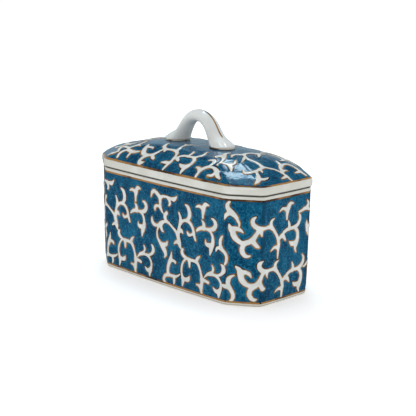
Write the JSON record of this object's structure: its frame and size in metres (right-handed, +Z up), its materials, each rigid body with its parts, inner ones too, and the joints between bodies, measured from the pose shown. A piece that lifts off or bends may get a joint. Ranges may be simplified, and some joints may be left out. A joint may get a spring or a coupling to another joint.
{
  "type": "porcelain trinket box",
  "caption": "Long octagonal glazed porcelain box with a domed lift-off lid, a pale rim band and a strap handle, in blue glaze with raised scrolling stems.",
  "frame": {"origin": "middle of the footprint on the table, centre of the overall box in plan", "axes": "+X along the length of the box, +Y across its width, +Z up, the way the lid lifts off"},
  "size_m": [0.2036, 0.1, 0.1472],
  "materials": {
    "blue_glaze": "glossy watery blue glaze with off-white scrolls outlined in brown",
    "white_glaze": "glossy pale grey-white glaze"
  },
  "bodies": {
    "box": {"box_body": "blue_glaze"},
    "lid": {"lid_dome": "blue_glaze", "lid_flange": "white_glaze", "lid_handle": "white_glaze"}
  },
  "joints": [
    {"name": "lid_lift", "type": "slide", "parent": "box", "child": "lid", "axis": [0, 0, 1], "range_m": [0, 0.12]}
  ]
}
